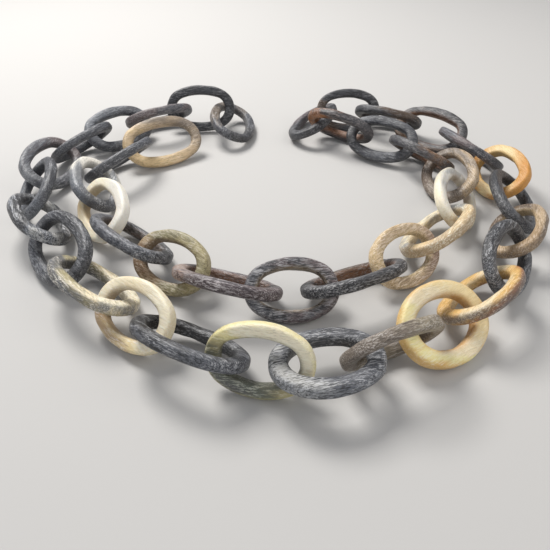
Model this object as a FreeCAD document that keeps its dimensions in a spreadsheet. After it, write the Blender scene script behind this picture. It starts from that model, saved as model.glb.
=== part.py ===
import FreeCAD, Part
import math
import os
import Sketcher

# Long chain necklace of big open horn links, laid down doubled: an outer strand and an
# inner strand, joined at the back by two turn links.  Each link is a closed oval ring sawn
# from a slab of horn, with its edges rounded over, and hooks through the next one.
# Millimetres, +Z up, the links lie on z = 0.

# --- driving dimensions ------------------------------------------------------------------
SLACK = 4.0          # play left in each hooked pair, along the chain
EDGE_ROUND = 1.4     # rounding of every edge of a link
END_FULLNESS = 0.86  # end radius of an oval as a share of its half width (1 = semicircle)
SAG = 0.5            # how far a link hangs below the middle of the two it hooks into
STRAND_CENTRE_Y = 20.0

# Five kinds of blank that the links are cut to: length, width, bar, thickness
SIZES = {
    "plain": (46.0, 31.0, 6.5, 5.5),
    "small": (40.5, 29.0, 5.8, 5.5),
    "round": (43.0, 34.0, 7.2, 5.8),
    "slim": (43.0, 29.0, 6.0, 5.5),
    "long": (50.0, 32.0, 6.5, 5.5),
}

# The links in the order they hook together.  "Lean" is how far a link is rolled about its
# own length as it lies, in degrees: positive lifts the side next to the neck.  Neighbours
# lean opposite ways, because each one has to stand across the one it passes through.
OUTER_STRAND = [
    ("plain", -62), ("plain", 38), ("plain", -36), ("plain", 42), ("plain", -38),
    ("long", 42), ("plain", -34), ("long", 40), ("long", -32), ("small", 42),
    ("long", -32), ("small", 66), ("round", -6), ("slim", -66), ("round", 34),
    ("plain", -34), ("plain", 50), ("slim", -34), ("long", 34), ("plain", -38),
    ("long", 36), ("long", -36), ("plain", 38), ("slim", -62),
]
INNER_STRAND = [
    ("plain", 53), ("plain", -36), ("plain", 38), ("plain", -39), ("plain", 44),
    ("long", -32), ("small", 42), ("long", -32), ("small", 36), ("long", -32),
    ("small", 40), ("long", -34), ("plain", 42), ("plain", -41), ("long", 38),
    ("long", -41),
]
TURN_LINK = ("long", 25)

# Each strand lies along an oval: half widths left and right of the middle, depths to the
# front and the back, and how full each part of the oval is (2 = an ellipse).
OUTER_OVAL = {"x": 0.0, "left": 132.0, "right": 128.0, "front": 139.0, "back": 104.0,
              "full_left": 1.45, "full_right": 1.85, "full_back": 2.1}
INNER_OVAL = {"x": 3.0, "left": 103.0, "right": 97.0, "front": 95.0, "back": 66.0,
              "full_left": 1.6, "full_right": 1.7, "full_back": 2.1}
LEFT_GATHER = 100.0   # bearing at which the strands leave their ovals for the left turn
RIGHT_GATHER = 60.0   # and for the right turn
INNER_JOIN = 55.0     # bearing at which the inner strand joins its oval after the right turn
TURN_GAP = 18.0       # distance between the two strands where they pass through a turn link
TURN_Y = 104.0        # middle of that pair
RIGHT_TURN_SWING = -20.0  # how far the right turn link is swung out of square
LEFT_END_X = -36.0    # where the outer strand hooks into the left turn link
RIGHT_END_X = -60.0   # a point the outer strand heads for as it nears the right turn link


def oval_point(oval, bearing):
    """Point of a strand's oval at a bearing in degrees (0 = right, 90 = back)."""
    angle = math.radians(bearing)
    c = math.cos(angle)
    s = math.sin(angle)
    side = "right" if c > 0 else "left"
    depth = "back" if s > 0 else "front"
    fullness = oval["full_back"] if s > 0 else oval["full_" + side]
    x = oval[side] * math.copysign(abs(c) ** (2 / fullness), c)
    y = oval[depth] * math.copysign(abs(s) ** (2 / fullness), s)
    return (oval["x"] + x, STRAND_CENTRE_Y + y)


def strand_route(oval, first_bearing, last_bearing, start, end):
    """Points a strand follows: from the start, round its oval, and on towards the end."""
    steps = int(abs(last_bearing - first_bearing) * 2)
    turn = (last_bearing - first_bearing) / steps
    route = [oval_point(oval, first_bearing + turn * k) for k in range(steps + 1)]
    return [start] + route + [end]


def step_along(route, place, reach):
    """First place on the route, after the given one, at a straight distance reach from it."""
    index, here = place
    while math.dist(here, route[index + 1]) < reach:
        index += 1
    near = route[index]
    far = route[index + 1]
    low = 0.0
    high = 1.0
    for _ in range(40):
        share = (low + high) / 2
        point = (near[0] + share * (far[0] - near[0]), near[1] + share * (far[1] - near[1]))
        if math.dist(here, point) < reach:
            low = share
        else:
            high = share
    return (index, point)


def resting_height(kind, lean):
    """Height of a link's middle when its lower long edge lies on z = 0."""
    length, width, bar, thickness = SIZES[kind]
    angle = math.radians(abs(lean))
    across = (width / 2 - EDGE_ROUND) * math.sin(angle)
    through = (thickness / 2 - EDGE_ROUND) * math.cos(angle)
    return across + through + EDGE_ROUND


def lay_strand(name, strand, route, neck_side):
    """Lay a strand's links along its route, each hooked a reach beyond the last."""
    rests = [resting_height(kind, lean) for kind, lean in strand]
    place = (0, route[0])
    links = []
    for k, (kind, lean) in enumerate(strand):
        length, width, bar, thickness = SIZES[kind]
        following = step_along(route, place, length - 2 * bar - SLACK)
        hook, next_hook = place[1], following[1]
        hung = (rests[max(k - 1, 0)] + rests[min(k + 1, len(rests) - 1)]) / 2 - SAG
        links.append({
            "name": f"{name}_link_{k + 1:02d}",
            "kind": kind,
            "x": (hook[0] + next_hook[0]) / 2,
            "y": (hook[1] + next_hook[1]) / 2,
            "z": max(rests[k], hung),
            "heading": math.degrees(math.atan2(next_hook[1] - hook[1], next_hook[0] - hook[0])),
            "roll": lean * neck_side,
            "hook": hook,
            "next_hook": next_hook,
        })
        place = following
    return links


def lay_turn(name, hook, side, swing):
    """Lay a turn link across the ends of both strands; side is +1 right of the gap, -1 left."""
    kind, lean = TURN_LINK
    length, width, bar, thickness = SIZES[kind]
    heading = swing - 90.0 * side
    along = math.radians(heading)
    ahead = (side * math.cos(along), side * math.sin(along))
    inward = (math.sin(along), -math.cos(along))
    reach = width / 2 - bar - SLACK / 2
    return {
        "name": name,
        "kind": kind,
        "x": hook[0] + ahead[0] * TURN_GAP / 2 + inward[0] * reach,
        "y": hook[1] + ahead[1] * TURN_GAP / 2 + inward[1] * reach,
        "z": resting_height(kind, lean),
        "heading": heading,
        "roll": lean,
        "hook": hook,
        "next_hook": (hook[0] + ahead[0] * TURN_GAP, hook[1] + ahead[1] * TURN_GAP),
    }


def lay_necklace():
    """All the links in order: left turn, outer strand, right turn, inner strand."""
    start = (LEFT_END_X, TURN_Y + TURN_GAP / 2)
    end = (RIGHT_END_X, TURN_Y + TURN_GAP / 2)
    outer_route = strand_route(OUTER_OVAL, LEFT_GATHER, 360 + RIGHT_GATHER, start, end)
    outer = lay_strand("outer", OUTER_STRAND, outer_route, 1)
    left_turn = lay_turn("left_turn_link", start, -1, 0.0)
    right_turn = lay_turn("right_turn_link", outer[-1]["next_hook"], 1, RIGHT_TURN_SWING)
    start = right_turn["next_hook"]
    end = (60.0, TURN_Y - TURN_GAP / 2)
    inner_route = strand_route(INNER_OVAL, INNER_JOIN, LEFT_GATHER - 360, start, end)
    inner = lay_strand("inner", INNER_STRAND, inner_route, -1)
    return [left_turn] + outer + [right_turn] + inner


# --- building ----------------------------------------------------------------------------
def oval_arcs(half_length, half_width):
    """Radii and centres of the end arcs and side arcs that make up an oval."""
    end_radius = END_FULLNESS * half_width
    end_centre = half_length - end_radius
    step = half_width - end_radius
    side_centre = (end_centre ** 2 - step ** 2) / (2 * step)
    return end_radius, end_centre, half_width + side_centre, side_centre


def draw_oval(sketch, half_length, half_width, half_length_rule, half_width_rule):
    """Draw an oval of four tangent arcs, centred on the origin, bound to the two rules."""
    end_radius, end_centre, side_radius, side_centre = oval_arcs(half_length, half_width)
    joint_angle = math.atan2(side_centre, end_centre)
    up = FreeCAD.Vector(0, 0, 1)
    quarter = math.pi / 2
    arcs = [
        (end_centre, 0, end_radius, -joint_angle, joint_angle),
        (0, -side_centre, side_radius, joint_angle, math.pi - joint_angle),
        (-end_centre, 0, end_radius, math.pi - joint_angle, math.pi + joint_angle),
        (0, side_centre, side_radius, math.pi + joint_angle, 2 * math.pi - joint_angle),
    ]
    first = sketch.GeometryCount
    for x, y, radius, start, stop in arcs:
        circle = Part.Circle(FreeCAD.Vector(x, y, 0), up, radius)
        sketch.addGeometry(Part.ArcOfCircle(circle, start, stop), False)
    right, top, left, bottom = range(first, first + 4)
    for arc, following in ((right, top), (top, left), (left, bottom), (bottom, right)):
        sketch.addConstraint(Sketcher.Constraint("Tangent", arc, 2, following, 1))
    sketch.addConstraint(Sketcher.Constraint("PointOnObject", right, 3, -1))
    sketch.addConstraint(Sketcher.Constraint("PointOnObject", top, 3, -2))
    sketch.addConstraint(Sketcher.Constraint("Symmetric", right, 3, left, 3, -1, 1))
    sketch.addConstraint(Sketcher.Constraint("Equal", top, bottom))
    end_rule = f"Dimensions.endFullness * ({half_width_rule})"
    radius_index = sketch.addConstraint(Sketcher.Constraint("Radius", right, end_radius))
    centre_index = sketch.addConstraint(
        Sketcher.Constraint("DistanceX", -1, 1, right, 3, end_centre))
    side_index = sketch.addConstraint(Sketcher.Constraint("Radius", top, side_radius))
    reach_rule = f"({half_length_rule}) - {end_rule}"
    step_rule = f"({half_width_rule}) - {end_rule}"
    side_rule = (f"({half_width_rule}) + (({reach_rule}) ^ 2 - ({step_rule}) ^ 2)"
                 f" / (2 * ({step_rule}))")
    sketch.setExpression(f"Constraints[{radius_index}]", end_rule)
    sketch.setExpression(f"Constraints[{centre_index}]", reach_rule)
    sketch.setExpression(f"Constraints[{side_index}]", side_rule)


def origin_plane(body, role):
    """The body's own origin plane with the given role."""
    return [feature for feature in body.Origin.OriginFeatures if feature.Role == role][0]


def build_link(doc, link):
    """One horn ring: an oval with an oval hole, padded to its thickness, edges rounded."""
    name, kind = link["name"], link["kind"]
    length, width, bar, thickness = SIZES[kind]
    body = doc.addObject("PartDesign::Body", name)
    body.Label = name
    sketch = body.newObject("Sketcher::SketchObject", name + "_outline")
    sketch.AttachmentSupport = [(origin_plane(body, "XY_Plane"), "")]
    sketch.MapMode = "FlatFace"
    rules = f"Dimensions.{kind}Length / 2", f"Dimensions.{kind}Width / 2"
    bar_rule = f" - Dimensions.{kind}Bar"
    draw_oval(sketch, length / 2, width / 2, *rules)
    draw_oval(sketch, length / 2 - bar, width / 2 - bar, rules[0] + bar_rule, rules[1] + bar_rule)
    pad = body.newObject("PartDesign::Pad", name + "_slab")
    pad.Profile = sketch
    pad.Length = thickness
    pad.Midplane = True
    pad.setExpression("Length", f"Dimensions.{kind}Thickness")
    doc.recompute()
    flat_faces = [face for face in pad.Shape.Faces if isinstance(face.Surface, Part.Plane)]
    rims = [edge for face in flat_faces for edge in face.Edges]
    names = [f"Edge{k + 1}" for k, edge in enumerate(pad.Shape.Edges)
             if any(edge.isSame(rim) for rim in rims)]
    rounding = body.newObject("PartDesign::Fillet", name + "_rounding")
    rounding.Base = (pad, names)
    rounding.Radius = EDGE_ROUND
    rounding.setExpression("Radius", "Dimensions.edgeRound")
    body.Tip = rounding
    turn = FreeCAD.Rotation(FreeCAD.Vector(0, 0, 1), link["heading"])
    roll = FreeCAD.Rotation(FreeCAD.Vector(1, 0, 0), link["roll"])
    place = FreeCAD.Vector(link["x"], link["y"], link["z"])
    body.Placement = FreeCAD.Placement(place, turn.multiply(roll))
    return body


def write_dimensions(doc):
    """The driving dimensions, on a sheet the links are bound to."""
    sheet = doc.addObject("Spreadsheet::Sheet", "Dimensions")
    cells = {"edgeRound": EDGE_ROUND, "endFullness": END_FULLNESS}
    for kind, (length, width, bar, thickness) in SIZES.items():
        cells[kind + "Length"] = length
        cells[kind + "Width"] = width
        cells[kind + "Bar"] = bar
        cells[kind + "Thickness"] = thickness
    for row, (alias, value) in enumerate(cells.items(), start=1):
        sheet.set(f"A{row}", alias)
        sheet.set(f"B{row}", str(value))
        sheet.setAlias(f"B{row}", alias)
    doc.recompute()


def centre_on_origin(bodies):
    """Move the laid necklace so that its bounding box stands centred on the origin."""
    box = FreeCAD.BoundBox()
    for body in bodies:
        box.add(body.Shape.optimalBoundingBox())
    shift = FreeCAD.Vector(-box.Center.x, -box.Center.y, -box.ZMin)
    for body in bodies:
        body.Placement.Base = body.Placement.Base + shift
    return shift


def main():
    doc = FreeCAD.newDocument("necklace")
    os.makedirs("parts", exist_ok=True)
    write_dimensions(doc)
    bodies = [build_link(doc, link) for link in lay_necklace()]
    doc.recompute()
    centre_on_origin(bodies)
    doc.recompute()
    for item in doc.Objects:
        if "Invalid" in item.State or "Error" in item.State:
            raise RuntimeError(f"{item.Name} did not rebuild: {item.State}")
    for body in bodies:
        if body.Shape.isNull() or not body.Shape.isValid() or len(body.Shape.Solids) != 1:
            raise RuntimeError(f"{body.Name} is not one sound solid")
        body.Shape.exportStep(f"parts/{body.Label}.step")


main()
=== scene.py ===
import bpy
import math
from mathutils import Matrix, Vector, noise
import numpy as np


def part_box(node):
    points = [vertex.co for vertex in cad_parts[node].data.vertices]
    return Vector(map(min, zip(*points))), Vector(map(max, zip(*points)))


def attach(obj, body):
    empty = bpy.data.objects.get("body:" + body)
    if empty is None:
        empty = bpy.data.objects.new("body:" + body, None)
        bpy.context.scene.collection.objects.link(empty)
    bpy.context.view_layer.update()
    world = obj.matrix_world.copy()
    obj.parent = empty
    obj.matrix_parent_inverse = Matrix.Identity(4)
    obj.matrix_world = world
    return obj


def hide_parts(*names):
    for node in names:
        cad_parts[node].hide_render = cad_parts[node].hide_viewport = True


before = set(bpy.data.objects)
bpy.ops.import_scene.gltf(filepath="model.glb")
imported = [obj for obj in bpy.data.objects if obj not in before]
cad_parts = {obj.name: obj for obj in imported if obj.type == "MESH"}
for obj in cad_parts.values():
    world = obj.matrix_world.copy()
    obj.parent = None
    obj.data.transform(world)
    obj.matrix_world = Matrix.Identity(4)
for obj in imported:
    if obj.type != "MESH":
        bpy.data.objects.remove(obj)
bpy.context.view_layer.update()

# Every link is remade from its CAD node as a hand-sawn, hand-filed ring of horn.  A link's
# own axes are u, along it, w, across it, and n, through it.  At the front of the necklace u
# points to the right, w away from the viewer and n up; both strands are read that way round.
# The rings are worked out in millimetres and placed in metres.
MM = 1000

# --- how the links are made --------------------------------------------------------------
# Length, width and bar width of the five kinds of link
BLANKS = ((46, 31, 6.5), (40.5, 29, 5.8), (43, 34, 7.2), (43, 29, 6.0), (50, 32, 6.5))
END_FULLNESS = 0.86         # radius of an oval's ends, in half widths
AROUND = 168                # sections round a link
SECTION = 32                # points round a section
FINE_STEPS = 4000           # steps that an oval's length is measured in

# How square a bar's section is, where 2 is an ellipse
USUAL_FULLNESS = 2.9
FULLNESS = {
    "outer_link_09": 3.2, "outer_link_10": 3.8, "outer_link_12": 3.6, "outer_link_13": 3.3,
    "outer_link_14": 3.4, "outer_link_15": 3.8, "outer_link_20": 3.8, "inner_link_06": 3.4,
    "inner_link_07": 3.6, "inner_link_09": 3.4, "inner_link_11": 3.6, "inner_link_13": 3.8,
}

# Hand work: how far the file went, and how many noise features there are per millimetre
RING_OFFSET = (17.3, 5.1, 9.7)      # from one ring's noise to the next one's
BAR_NOISE = 0.055                   # along the bar
FULLNESS_CHANGE = 0.16              # share by which the section's squareness varies
FULLNESS_NOISE = 1.7                # how much faster than the bar it varies
THINNING = 0.55                     # most taken off the outside of a bar
THINNING_THROUGH = 0.6              # share of that taken off its faces
THINNING_PLACE = Vector((40, 0, 0))
TAPER = 0.10                        # most that a section narrows from one face to the other
TAPER_NOISE = 0.8
TAPER_PLACE = Vector((0, 60, 0))
FLAT_NOISE = 0.11                   # flats left by the file
FLAT_DEPTH = 0.5
FLAT_START = 0.05                   # a flat starts this far below the noise's middle
SWELL = 0.05                        # gentle rise and fall between the flats
SCRATCH_NOISE = 0.7
SCRATCH_DEPTH = 0.02

# --- horn colours ------------------------------------------------------------------------
COLOURS = {
    "black": "1E1D1F", "coal": "353538", "char": "48494D", "slate": "5A5C62",
    "steel": "6D7178", "ash": "85878A", "silver": "A9A8A4", "white": "E9E4D8",
    "dusk": "4A434A", "plum": "5A4D4E", "mauve": "6E6261", "pink": "A38A7C",
    "taupe": "7C7064", "stone": "958A76", "umber": "5B4A3C", "brown": "7A5C41",
    "rust": "A26836", "amber": "C98A35", "honey": "DDB36B", "sand": "D8BC8D",
    "tan": "A98E6C", "fawn": "BDA584", "wheat": "E8D3A0", "cream": "E8D8B4",
    "ivory": "EEE4C8", "butter": "E9DD9F", "lichen": "565B50", "olive": "77705A",
    "moss": "8A8462", "khaki": "A89C72",
}

# Each link: the direction across which its colours change (u, w, n), how far clouds push
# that change about, the colours in order, and how strong its pale and dark streaks are
LOOKS = {
    "left_turn_link": ((0.4, 0.5, 0.0), 0.5, ("coal", "slate", "taupe"), 0.45, 0.4),
    "outer_link_01": ((1.0, 0.0, 0.0), 0.5, ("coal", "char", "coal"), 0.4, 0.4),
    "outer_link_02": ((0.6, 0.6, 0.0), 0.7, ("char", "slate", "mauve"), 0.4, 0.4),
    "outer_link_03": ((0.5, -0.6, 0.0), 0.6, ("char", "slate", "steel"), 0.4, 0.4),
    "outer_link_04": ((1.0, 0.2, 0.0), 0.5, ("coal", "slate", "char"), 0.45, 0.4),
    "outer_link_05": ((1.0, 0.0, 0.0), 0.6, ("mauve", "slate", "ash"), 0.4, 0.4),
    "outer_link_06": ((-0.4, 0.8, 0.0), 0.5, ("steel", "slate", "char"), 0.45, 0.45),
    "outer_link_07": ((0.5, 0.8, 0.1), 0.9, ("coal", "steel", "silver", "char"), 0.8, 0.6),
    "outer_link_08": ((0.7, 0.5, 0.0), 0.6, ("slate", "coal", "char"), 0.6, 0.5),
    "outer_link_09": ((0.7, 0.4, 0.4), 0.25, ("coal", "slate", "khaki", "cream", "ivory"), 0.6, 0.55),
    "outer_link_10": ((0.6, 1.0, 0.2), 0.3, ("tan", "wheat", "ivory", "cream", "ivory"), 0.3, 0.3),
    "outer_link_11": ((0.9, -0.5, 0.0), 0.7, ("black", "coal", "char", "slate"), 0.65, 0.5),
    "outer_link_12": ((0.7, 1.0, 0.1), 0.25,
                      ("char", "lichen", "khaki", "butter", "ivory", "ivory"), 0.35, 0.45),
    # outer_link_13's silver left end is partly a pale marking and partly a painted highlight
    "outer_link_13": ((-1.0, -0.6, 0.1), 0.35, ("char", "slate", "slate", "slate", "silver"), 0.8, 0.65),
    "outer_link_14": ((0.8, 0.4, 0.2), 0.25, ("taupe", "stone", "taupe"), 0.55, 0.4),
    "outer_link_15": ((0.9, 0.3, 0.2), 0.4, ("honey", "butter", "cream", "cream", "wheat"), 0.25, 0.3),
    "outer_link_16": ((-0.4, 0.8, 0.6), 0.3, ("plum", "rust", "honey", "cream", "honey"), 0.4, 0.4),
    "outer_link_17": ((0.6, 0.7, 0.0), 0.4, ("steel", "char", "coal"), 0.8, 0.6),
    "outer_link_18": ((0.8, 0.6, 0.1), 0.6, ("tan", "fawn", "umber"), 0.4, 0.5),
    "outer_link_19": ((1.0, 0.0, 0.0), 0.5, ("char", "coal", "coal"), 0.4, 0.4),
    "outer_link_20": ((0.8, 0.8, 0.0), 0.3, ("amber", "wheat", "amber"), 0.2, 0.3),
    "outer_link_21": ((0.9, 0.2, 0.0), 0.7, ("char", "mauve", "slate"), 0.4, 0.4),
    "outer_link_22": ((0.7, 0.5, 0.0), 0.8, ("coal", "char", "brown"), 0.35, 0.4),
    "outer_link_23": ((0.8, 0.3, 0.0), 0.8, ("coal", "umber", "char"), 0.35, 0.4),
    "outer_link_24": ((0.8, 0.3, 0.0), 0.7, ("coal", "char", "umber"), 0.35, 0.4),
    "right_turn_link": ((0.5, 0.6, 0.0), 0.7, ("coal", "char", "plum"), 0.4, 0.4),
    "inner_link_01": ((0.8, 0.3, 0.0), 0.8, ("char", "coal", "rust"), 0.35, 0.4),
    "inner_link_02": ((0.8, 0.5, 0.0), 0.7, ("char", "slate", "coal"), 0.4, 0.4),
    "inner_link_03": ((0.9, 0.2, 0.0), 0.8, ("brown", "coal", "char"), 0.35, 0.45),
    "inner_link_04": ((0.7, 0.6, 0.1), 0.6, ("fawn", "taupe", "umber"), 0.4, 0.45),
    "inner_link_05": ((0.9, 0.6, 0.2), 0.6, ("sand", "ivory", "white", "silver"), 0.3, 0.3),
    "inner_link_06": ((0.5, 0.8, 0.1), 0.3, ("fawn", "sand", "ash", "cream"), 0.65, 0.6),
    "inner_link_07": ((0.8, -0.3, 0.1), 0.3, ("sand", "fawn", "fawn", "pink"), 0.65, 0.6),
    "inner_link_08": ((0.1, 1.0, 0.1), 0.4, ("coal", "char", "char", "umber"), 0.75, 0.5),
    "inner_link_09": ((0.9, 0.1, 0.0), 0.25, ("slate", "char", "plum", "char", "mauve"), 0.7, 0.6),
    "inner_link_10": ((0.9, 0.2, 0.1), 0.3, ("pink", "mauve", "dusk", "dusk", "plum"), 0.8, 0.55),
    "inner_link_11": ((0.8, 0.5, 0.1), 0.5, ("brown", "tan", "moss", "khaki"), 0.5, 0.6),
    "inner_link_12": ((-0.5, -0.8, 0.0), 0.5, ("coal", "char", "slate", "slate"), 0.9, 0.6),
    "inner_link_13": ((0.5, 0.8, 0.3), 0.3, ("sand", "ivory", "white"), 0.2, 0.2),
    "inner_link_14": ((1.0, 0.5, 0.0), 0.6, ("white", "ash", "steel", "char"), 0.5, 0.4),
    "inner_link_15": ((0.7, 0.5, 0.0), 0.6, ("steel", "slate", "char"), 0.4, 0.4),
    "inner_link_16": ((0.8, 0.5, 0.0), 0.6, ("taupe", "fawn", "sand"), 0.3, 0.4),
}

# Links whose outer rim or inner wall shows another colour: (rim, wall). The rim colours are horn sawn
# through another colour; the wall colours are partly the horn's core and partly painted shade on the
# inner wall.
RIM_AND_WALL_COLOURS = {
    "outer_link_09": ("slate", "char"), "outer_link_10": ("cream", "tan"),
    "outer_link_11": ("slate", "black"), "outer_link_12": ("butter", "lichen"),
    "outer_link_13": ("steel", "black"), "outer_link_15": ("honey", "amber"),
    "outer_link_16": ("plum", "honey"), "outer_link_17": ("coal", "black"),
    "outer_link_18": ("umber", "sand"), "outer_link_20": ("amber", "honey"),
    "outer_link_22": ("coal", "rust"), "inner_link_01": ("coal", "rust"),
    "inner_link_03": ("char", "rust"), "inner_link_05": ("ivory", "tan"),
    "inner_link_06": ("fawn", "sand"), "inner_link_07": ("sand", "wheat"),
    "inner_link_08": ("coal", "rust"), "inner_link_09": ("plum", "sand"),
    "inner_link_10": ("plum", "rust"), "inner_link_11": ("khaki", "brown"),
    "inner_link_12": ("slate", "brown"), "inner_link_13": ("white", "sand"),
}


# --- geometry ----------------------------------------------------------------------------
def read(collection, attribute):
    """A vector attribute of a mesh's points or faces, as rows of three numbers."""
    values = np.zeros(3 * len(collection))
    collection.foreach_get(attribute, values)
    return values.reshape(-1, 3)


def link_frame(name, ahead):
    """A CAD link's middle, its axes, with u along ahead and n upwards, and its sizes."""
    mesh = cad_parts[name].data
    points = read(mesh.vertices, "co")
    centres = read(mesh.polygons, "center")
    areas = np.zeros(len(mesh.polygons))
    mesh.polygons.foreach_get("area", areas)
    middle = (centres * areas[:, None]).sum(0) / areas.sum()
    arms = centres - middle
    axes = np.linalg.eigh((arms * areas[:, None]).T @ arms)[1]
    u = Vector(axes[:, 2]).normalized()
    n = Vector(axes[:, 0]).normalized()
    if u.dot(ahead) < 0:
        u.negate()
    if n.z < 0:
        n.negate()
    w = n.cross(u)
    turn = Matrix((u, w, n)).transposed()
    placed = (points - middle) @ np.array(turn)
    return Vector(middle), turn, placed.max(0) - placed.min(0)


class Oval:
    """An oval of four tangent arcs, reached by the direction its outline faces."""

    def __init__(self, half_length, half_width):
        self.end_radius = END_FULLNESS * half_width
        self.end_centre = half_length - self.end_radius
        step = half_width - self.end_radius
        self.side_centre = (self.end_centre ** 2 - step ** 2) / (2 * step)
        self.side_radius = half_width + self.side_centre
        self.joint = math.atan2(self.side_centre, self.end_centre)

    def point(self, facing):
        c, s = math.cos(facing), math.sin(facing)
        if abs(s) < math.sin(self.joint):
            centre = math.copysign(self.end_centre, c)
            return Vector((centre + self.end_radius * c, self.end_radius * s, 0))
        centre = math.copysign(self.side_centre, s)
        return Vector((self.side_radius * c, self.side_radius * s - centre, 0))


def even_facings(oval, count):
    """Facings at equal steps of length round an oval."""
    fine = [2 * math.pi * k / FINE_STEPS for k in range(FINE_STEPS + 1)]
    points = np.array([oval.point(facing) for facing in fine])
    steps = np.linalg.norm(np.diff(points, axis=0), axis=1)
    lengths = np.concatenate([[0.0], np.cumsum(steps)])
    wanted = [lengths[-1] * k / count for k in range(count)]
    return list(np.interp(wanted, lengths, fine))


def power(value, exponent):
    return math.copysign(abs(value) ** exponent, value)


def bar_width(length, width):
    """The bar of the blank nearest in size."""
    return min(BLANKS, key=lambda blank: abs(blank[0] - length) + abs(blank[1] - width))[2]


def file_mark(point, offset):
    """How far the file left a point above the even ring, or below it."""
    flat = noise.noise(point * FLAT_NOISE + offset)
    dent = min(0.0, flat + FLAT_START) * FLAT_DEPTH + SWELL * flat
    return dent + SCRATCH_DEPTH * noise.noise(point * SCRATCH_NOISE + offset)


def build_ring(name, seed, sizes, fullness):
    """A filed horn ring about its own middle, with its rubbed edges, wall and rim marked; the edge mark
    also carries a painted highlight.
    """
    length, width, thickness = sizes
    bar = bar_width(length, width)
    outer = Oval(length / 2, width / 2)
    inner = Oval(length / 2 - bar, width / 2 - bar)
    bar_line = Oval(length / 2 - bar / 2, width / 2 - bar / 2)
    offset = Vector([seed * step for step in RING_OFFSET])
    points = []
    marks = {"rubbed_edge_highlight": [], "wall": [], "rim": []}
    for facing in even_facings(bar_line, AROUND):
        rim = outer.point(facing)
        hole = inner.point(facing)
        middle = (rim + hole) / 2
        away = (rim - hole).normalized()
        half_bar = (rim - hole).length / 2
        here = middle * BAR_NOISE + offset
        full = fullness * (1 + FULLNESS_CHANGE * noise.noise(here * FULLNESS_NOISE))
        thin = THINNING * max(0.0, noise.noise(here + THINNING_PLACE))
        taper = TAPER * noise.noise(here * TAPER_NOISE + TAPER_PLACE)
        for k in range(SECTION):
            angle = 2 * math.pi * (k + 0.5) / SECTION
            across = power(math.cos(angle), 2 / full)
            up = power(math.sin(angle), 2 / full)
            a = (half_bar - thin * (across > 0)) * across * (1 - taper * up * 0.5)
            b = (thickness / 2 - thin * THINNING_THROUGH) * up
            point = middle + away * a + Vector((0, 0, b))
            outwards = (away * across + Vector((0, 0, up))).normalized()
            points.append(point + outwards * file_mark(point, offset))
            # the corners of each bar, rubbed pale in the horn and partly a painted highlight
            marks["rubbed_edge_highlight"].append((abs(across) * abs(up)) ** 4)
            marks["wall"].append(max(0.0, -across) ** 3)
            marks["rim"].append(max(0.0, across) ** 3)
    faces = []
    for i in range(AROUND):
        j = (i + 1) % AROUND
        for k in range(SECTION):
            m = (k + 1) % SECTION
            faces.append((i * SECTION + k, j * SECTION + k, j * SECTION + m, i * SECTION + m))
    mesh = bpy.data.meshes.new(name + "_horn")
    mesh.from_pydata([point / MM for point in points], [], faces)
    mesh.validate()
    for label, values in marks.items():
        mark = mesh.attributes.new(label, "FLOAT", "POINT")
        mark.data.foreach_set("value", values)
    for face in mesh.polygons:
        face.use_smooth = True
    mesh.update()
    return mesh


# --- horn material -----------------------------------------------------------------------
# Noise features per millimetre along, across and through a link
COARSE_FIBRES = (0.10, 0.62, 0.62)
FINE_FIBRES = (0.30, 1.75, 1.75)
HAIRS = (0.60, 4.2, 4.2)
PATCHES = (0.07, 0.13, 0.13)
BROAD_CLOUDS = (0.035, 0.11, 0.11)
FIBRE_BENDS = (0.05, 0.05, 0.05)
HAIR_SHIFT = (5, 3, 1)
PATCH_SHIFT = (9, 4, 2)
LINK_SHIFT = (3.7, 1.9, 2.3)        # from one link's noise to the next one's
BEND_REACH = 4.0                    # how far fibres wander from straight, in millimetres

# Brightness of a link's mean colour, as linear light
DARK_HORN = 0.22
MIDDLING_HORN = 0.42
TRANSLUCENT_HORN = 0.35
# below this brightness a link's inner wall gets the heavier painted shade
HEAVY_PAINTED_SHADE_HORN = 0.2

# Where marks start and where they are full, as levels of the noise that they come from
PATCH_LEVELS = (0.34, 0.60)         # parts of a link that are drier than the rest
STAIN_LEVELS = (0.62, 0.88)         # where the colours of the rim and the wall show
PORE_LEVELS = (0.505, 0.44)         # dark pores, in the hollows of the fine fibres
PORE_BANDS = (0.66, 0.42)           # they gather in the hollows of the coarse ones
DRY_LEVELS = (0.51, 0.555)          # pale dry fibres
DRY_BANDS = (0.34, 0.52)
RUBBED_HIGHLIGHT_LEVELS = (0.20, 0.62)          # edges rubbed pale, and partly a painted highlight
RUBBED_HIGHLIGHT_BANDS = (0.44, 0.60)

# Shares in which noises are added up
STREAK_FINE = 0.62
STREAK_HAIRS = 0.38
STAIN_FIBRES = 0.6
RELIEF_FINE = 0.7
RELIEF_HAIRS = 0.35
RELIEF_COARSE = 0.8

# How strongly marks cover the colour below
DRY_GAIN = 1.35
DRY_EVERYWHERE = 0.25               # the rest only in the drier patches
RIM_COVER = 0.85
WALL_COVER = 0.3                    # everywhere, partly as painted shade, and more in the stains
WALL_STAIN = 0.5
# rubbed edges, partly a painted highlight
RUBBED_HIGHLIGHT_COVER = 0.25
RUBBED_HIGHLIGHT_WITH_PALE = 0.35
# painted shade on the inner wall, on dark links and on pale ones
PAINTED_SHADE_ON_DARK = 0.45
PAINTED_SHADE_ON_PALE = 0.2

# Brightest values that a pale fibre and a rubbed edge with its painted highlight may have
PALE_LIMIT = 0.86
RUBBED_HIGHLIGHT_LIMIT = 0.88

# A link's ramp of colours: its reach from the middle, its plain start, the part that changes
# and how far clouds push it about
RAMP_REACH = 0.46
RAMP_START = 0.10
RAMP_SPAN = 0.80
WARP_GAIN = 2.4

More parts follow.
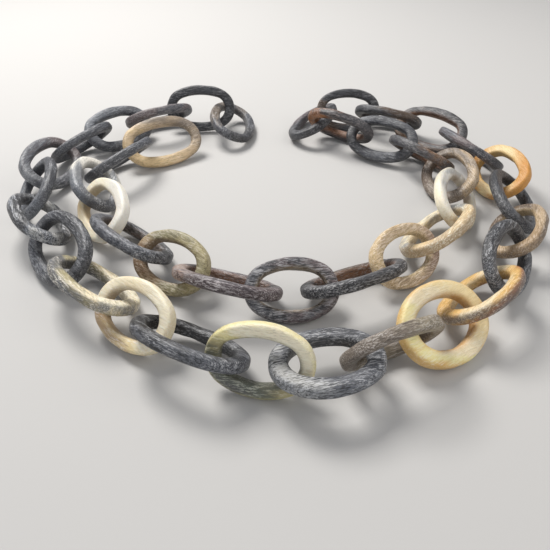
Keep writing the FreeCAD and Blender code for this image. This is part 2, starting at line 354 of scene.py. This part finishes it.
IOR = 1.5
GLOSS = 0.30                        # roughness of polished horn
GLOSS_CHANGE = 0.22
DRY_ROUGHNESS = 0.20
BUMP_STRENGTH = 0.8
BUMP_DEPTH = 0.0004
GLOW = 0.12                         # light that pale horn lets through
GLOW_RADIUS = (1.0, 0.7, 0.4)
GLOW_DEPTH = 0.0015


def linear(code):
    """A six-figure sRGB colour code as linear colour."""
    parts = [int(code[k:k + 2], 16) / 255 for k in (0, 2, 4)]
    return tuple(p / 12.92 if p <= 0.04045 else ((p + 0.055) / 1.055) ** 2.4 for p in parts)


def opaque(colour):
    return (*colour, 1.0)


class Nodes:
    """Short calls for laying out a material's nodes."""

    def __init__(self, material):
        self.tree = material.node_tree
        self.tree.nodes.clear()

    def add(self, kind, inputs=(), **settings):
        node = self.tree.nodes.new(kind)
        for key, value in settings.items():
            setattr(node, key, value)
        for key, value in dict(inputs).items():
            self.feed(node.inputs[key], value)
        return node

    def feed(self, socket, value):
        if isinstance(value, bpy.types.NodeSocket):
            self.tree.links.new(value, socket)
        else:
            socket.default_value = value

    def maths(self, operation, a, b=0.0, clamp=False):
        node = self.add("ShaderNodeMath", {0: a, 1: b}, operation=operation, use_clamp=clamp)
        return node.outputs[0]

    def weigh(self, *parts):
        """The sum of values, each given with its weight."""
        products = [self.maths("MULTIPLY", value, weight) for value, weight in parts]
        total = products[0]
        for product in products[1:]:
            total = self.maths("ADD", total, product)
        return total

    def stretch(self, place, scale, shift=(0, 0, 0)):
        node = self.add("ShaderNodeMapping", {"Vector": place, "Scale": scale, "Location": shift})
        return node.outputs[0]

    def clouds(self, place, detail=3.0, rough=0.55, warp=0.0):
        node = self.add("ShaderNodeTexNoise", {"Vector": place, "Scale": 1.0, "Detail": detail,
                                               "Roughness": rough, "Distortion": warp})
        return node.outputs[0]

    def ramp(self, value, stops):
        node = self.add("ShaderNodeValToRGB", {0: value})
        node.color_ramp.interpolation = "EASE"
        elements = node.color_ramp.elements
        while len(elements) < len(stops):
            elements.new(0.5)
        for element, (place, colour) in zip(elements, stops):
            element.position = place
            element.color = opaque(colour)
        return node.outputs[0]

    def level(self, value, low, high):
        """0 at low, 1 at high, and straight between."""
        node = self.add("ShaderNodeMapRange", {0: value, 1: low, 2: high, 3: 0.0, 4: 1.0})
        return node.outputs[0]

    def mix(self, share, a, b):
        node = self.add("ShaderNodeMix", {0: share, 6: a, 7: b}, data_type="RGBA")
        return node.outputs[2]

    def mark(self, label):
        """A mark that build_ring left on the mesh."""
        return self.add("ShaderNodeAttribute", attribute_name=label).outputs["Fac"]


def fibres(n, mm):
    """Three sizes of long streak, all of them nearly straight along the link."""
    bend = n.clouds(n.stretch(mm, FIBRE_BENDS), 1.0)
    drift = n.add("ShaderNodeCombineXYZ", {1: n.maths("MULTIPLY", bend, BEND_REACH)}).outputs[0]
    grain = n.add("ShaderNodeVectorMath", {0: mm, 1: drift}, operation="ADD").outputs[0]
    coarse = n.clouds(n.stretch(grain, COARSE_FIBRES), 3.0, 0.55, 0.4)
    fine = n.clouds(n.stretch(grain, FINE_FIBRES), 3.0, 0.62, 0.5)
    hairs = n.clouds(n.stretch(grain, HAIRS, HAIR_SHIFT), 2.0, 0.7)
    return coarse, fine, hairs


def broad_colour(n, place, sizes, look, light, noises):
    """The link's colours in order across it, their borders drawn out into the fibres."""
    direction, warp, colours = look[:3]
    broad, coarse, fine = noises
    slope = [2 * MM * part / size for part, size in zip(direction, sizes)]
    across = n.add("ShaderNodeVectorMath", {0: place, 1: slope}, operation="DOT_PRODUCT")
    span = sum(part * part for part in direction) ** 0.5
    field = n.maths("MULTIPLY", across.outputs["Value"], RAMP_REACH / span)
    fray = 0.22 if light > DARK_HORN else 0.6
    for cloud, reach in ((broad, warp * WARP_GAIN), (coarse, fray), (fine, fray / 2)):
        push = n.maths("MULTIPLY", n.maths("SUBTRACT", cloud, 0.5), reach)
        field = n.maths("ADD", field, push)
    field = n.maths("ADD", field, 0.5, clamp=True)
    last = max(1, len(colours) - 1)
    stops = [(RAMP_START + RAMP_SPAN * k / last, linear(COLOURS[c])) for k, c in enumerate(colours)]
    return n.ramp(field, stops)


def paint_rim_and_wall(n, colour, rim_and_wall, wall, broad, coarse):
    """Rim and inner wall in other colours, in stains; the wall colour also lies thinly over the whole
    wall, partly as painted shade.
    """
    rim_colour, wall_colour = (opaque(linear(COLOURS[c])) for c in rim_and_wall)
    stain = n.level(n.weigh((broad, 1.0), (coarse, STAIN_FIBRES)), *STAIN_LEVELS)
    rim_share = n.maths("MULTIPLY", n.mark("rim"), n.maths("MULTIPLY", stain, RIM_COVER))
    colour = n.mix(rim_share, colour, rim_colour)
    # the wall colour, partly the horn's core and partly painted shade in the hole: thinly everywhere on
    # the wall, more in the stains
    wall_stain_and_shade = n.maths("ADD", n.maths("MULTIPLY", stain, WALL_STAIN), WALL_COVER)
    return n.mix(n.maths("MULTIPLY", wall, wall_stain_and_shade), colour, wall_colour)


def pore_gain(light):
    """Pores show most in dark horn."""
    if light < DARK_HORN:
        return 1.7
    if light < MIDDLING_HORN:
        return 1.2
    return 0.7


def streaks(n, noises, pale, dark, light):
    """Where the dark pores and the pale dry fibres between them show."""
    coarse, fine, hairs, patch = noises
    streak = n.weigh((fine, STREAK_FINE), (hairs, STREAK_HAIRS))
    pores = n.maths("MULTIPLY", n.level(streak, *PORE_LEVELS), n.level(coarse, *PORE_BANDS))
    pores = n.maths("MULTIPLY", pores, min(1.0, dark * pore_gain(light)), clamp=True)
    dry = n.maths("MULTIPLY", n.level(streak, *DRY_LEVELS), n.level(coarse, *DRY_BANDS))
    in_patches = n.maths("MULTIPLY", patch, 1 - DRY_EVERYWHERE)
    dry = n.maths("MULTIPLY", dry, n.maths("ADD", in_patches, DRY_EVERYWHERE))
    dry = n.maths("MULTIPLY", dry, min(1.0, pale * DRY_GAIN), clamp=True)
    return pores, dry


def horn(name, seed, look, sizes):
    """A link's own horn: blended colours, rim and wall colours, fibres, edges rubbed pale and partly a
    painted highlight, and painted shade on the inner wall.
    """
    colours, pale, dark = look[2:]
    mean = [sum(linear(COLOURS[c])[k] for c in colours) / len(colours) for k in range(3)]
    light = sum(mean) / 3
    pale_tone = tuple(min(PALE_LIMIT, m * 0.9 + 0.33 + light * 0.25) for m in mean)
    dark_tone = tuple(m * (0.16 + 0.34 * min(1.0, light * 2)) for m in mean)
    # the rubbed tone is partly a painted highlight on the edges
    rubbed_highlight_tone = tuple(min(RUBBED_HIGHLIGHT_LIMIT, p * 1.25) for p in pale_tone)
    # painted shade: a darker copy of the link's mean colour, for its inner wall
    painted_shade_tone = tuple(m * 0.35 for m in mean)

    material = bpy.data.materials.new(name + "_horn")
    material.use_nodes = True
    material.diffuse_color = opaque(mean)
    n = Nodes(material)
    place = n.add("ShaderNodeTexCoord").outputs["Object"]
    mm = n.stretch(place, (MM, MM, MM), [seed * step for step in LINK_SHIFT])
    coarse, fine, hairs = fibres(n, mm)
    broad = n.clouds(n.stretch(mm, BROAD_CLOUDS), 2.0, 0.5, 0.4)
    patch = n.level(n.clouds(n.stretch(mm, PATCHES, PATCH_SHIFT), 2.0, 0.5), *PATCH_LEVELS)

    colour = broad_colour(n, place, sizes, look, light, (broad, coarse, fine))
    wall = n.mark("wall")
    if name in RIM_AND_WALL_COLOURS:
        colour = paint_rim_and_wall(n, colour, RIM_AND_WALL_COLOURS[name], wall, broad, coarse)
    pores, dry = streaks(n, (coarse, fine, hairs, patch), pale, dark, light)
    colour = n.mix(pores, colour, opaque(dark_tone))
    colour = n.mix(dry, colour, opaque(pale_tone))
    # edges rubbed pale: partly real rubbing, partly a painted highlight along the corners of each bar
    rubbed_and_highlit = n.level(n.mark("rubbed_edge_highlight"), *RUBBED_HIGHLIGHT_LEVELS)
    rubbed_and_highlit = n.maths("MULTIPLY", rubbed_and_highlit, n.level(coarse, *RUBBED_HIGHLIGHT_BANDS))
    rubbed_and_highlit = n.maths("MULTIPLY", rubbed_and_highlit, RUBBED_HIGHLIGHT_COVER + RUBBED_HIGHLIGHT_WITH_PALE * pale)
    colour = n.mix(rubbed_and_highlit, colour, opaque(rubbed_highlight_tone))
    # painted shade: the inner wall darkened towards a darker copy of the link's colour, more on dark
    # links
    shade = n.maths("MULTIPLY", wall, PAINTED_SHADE_ON_DARK if light < HEAVY_PAINTED_SHADE_HORN else PAINTED_SHADE_ON_PALE)
    colour = n.mix(shade, colour, opaque(painted_shade_tone))

    # satin, duller along the pale dry fibres
    gloss = n.maths("ADD", n.maths("MULTIPLY", coarse, GLOSS_CHANGE), GLOSS)
    rough = n.maths("ADD", gloss, n.maths("MULTIPLY", dry, DRY_ROUGHNESS), clamp=True)
    relief = n.weigh((fine, RELIEF_FINE), (hairs, RELIEF_HAIRS), (coarse, RELIEF_COARSE))
    bump = n.add("ShaderNodeBump", {"Strength": BUMP_STRENGTH, "Distance": BUMP_DEPTH,
                                    "Height": relief})
    inputs = {"Base Color": colour, "Roughness": rough, "Normal": bump.outputs[0], "IOR": IOR}
    shader = n.add("ShaderNodeBsdfPrincipled", inputs)
    if light > TRANSLUCENT_HORN:
        shader.inputs["Subsurface Weight"].default_value = GLOW
        shader.inputs["Subsurface Radius"].default_value = GLOW_RADIUS
        shader.inputs["Subsurface Scale"].default_value = GLOW_DEPTH
    n.add("ShaderNodeOutputMaterial", {"Surface": shader.outputs[0]})
    return material


# --- the links ---------------------------------------------------------------------------
# The links in the order in which both strands run counter-clockwise, seen from above
order = ["left_turn_link"]
order += [f"outer_link_{k:02d}" for k in range(1, 25)]
order += ["right_turn_link"]
order += [f"inner_link_{k:02d}" for k in range(16, 0, -1)]
centres = {name: sum((Vector(corner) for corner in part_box(name)), Vector()) / 2 for name in order}


def heading(name):
    """Which way a link's u points: from the link before it to the link after it."""
    if name == "left_turn_link":
        return Vector((-1, 0, 0))
    if name == "right_turn_link":
        return Vector((1, 0, 0))
    if name == "inner_link_01":
        return centres["right_turn_link"] - centres["inner_link_02"]
    place = order.index(name)
    before = "left_turn_link" if name == "inner_link_16" else order[place - 1]
    after = order[(place + 1) % len(order)]
    return centres[after] - centres[before]


for seed, name in enumerate(order, start=1):
    middle, turn, sizes = link_frame(name, heading(name))
    sizes = [MM * float(size) for size in sizes]
    mesh = build_ring(name, seed, sizes, FULLNESS.get(name, USUAL_FULLNESS))
    link = bpy.data.objects.new(name + "_horn", mesh)
    bpy.context.scene.collection.objects.link(link)
    link.matrix_world = Matrix.Translation(middle) @ turn.to_4x4()
    mesh.materials.append(horn(name, seed, LOOKS[name], sizes))
    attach(link, name)
    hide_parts(name)

# --- floor, light and camera -------------------------------------------------------------
FLOOR = 4                           # half a side of the floor
FLOOR_COLOUR = (0.50, 0.49, 0.475)
FLOOR_ROUGHNESS = 0.8
SKY_COLOUR = (0.9, 0.93, 1.0)
SKY_STRENGTH = 0.40
CAMERA_PLACE = (0.0015, -0.2482, 0.160)
CAMERA_TILT = 51.3                  # degrees up from looking straight down
SENSOR = 36.0                       # width, in millimetres
LENS = 36.0                         # focal length, for a view 53 degrees wide

floor_mesh = bpy.data.meshes.new("floor")
corners = [(-FLOOR, -FLOOR, 0), (FLOOR, -FLOOR, 0), (FLOOR, FLOOR, 0), (-FLOOR, FLOOR, 0)]
floor_mesh.from_pydata(corners, [], [(0, 1, 2, 3)])
floor = bpy.data.objects.new("floor", floor_mesh)
bpy.context.scene.collection.objects.link(floor)
floor_paint = bpy.data.materials.new("floor")
floor_paint.use_nodes = True
floor_shader = floor_paint.node_tree.nodes["Principled BSDF"]
floor_shader.inputs["Base Color"].default_value = opaque(FLOOR_COLOUR)
floor_shader.inputs["Roughness"].default_value = FLOOR_ROUGHNESS
floor_mesh.materials.append(floor_paint)


def area_light(name, place, size, energy, colour):
    """A square lamp that faces the middle of the necklace."""
    data = bpy.data.lights.new(name, "AREA")
    data.size = size
    data.energy = energy
    data.color = colour
    lamp = bpy.data.objects.new(name, data)
    lamp.location = place
    lamp.rotation_euler = (-Vector(place)).to_track_quat("-Z", "Y").to_euler()
    bpy.context.scene.collection.objects.link(lamp)


area_light("window", (-0.35, 0.50, 0.75), 0.40, 11.0, (1.0, 0.98, 0.95))
area_light("room", (0.7, -0.2, 0.6), 0.7, 2.5, (1.0, 0.96, 0.9))
area_light("front", (-0.3, -0.8, 0.5), 0.9, 1.6, (0.93, 0.96, 1.0))
world = bpy.data.worlds.new("world")
world.use_nodes = True
sky = world.node_tree.nodes["Background"]
sky.inputs["Color"].default_value = opaque(SKY_COLOUR)
sky.inputs["Strength"].default_value = SKY_STRENGTH
bpy.context.scene.world = world
bpy.context.scene.view_settings.view_transform = "Standard"

lens = bpy.data.cameras.new("camera")
lens.sensor_width = SENSOR
lens.lens = LENS
lens.clip_start = 0.01
camera = bpy.data.objects.new("camera", lens)
camera.location = CAMERA_PLACE
camera.rotation_euler = (math.radians(CAMERA_TILT), 0, 0)
bpy.context.scene.collection.objects.link(camera)
bpy.context.scene.camera = camera
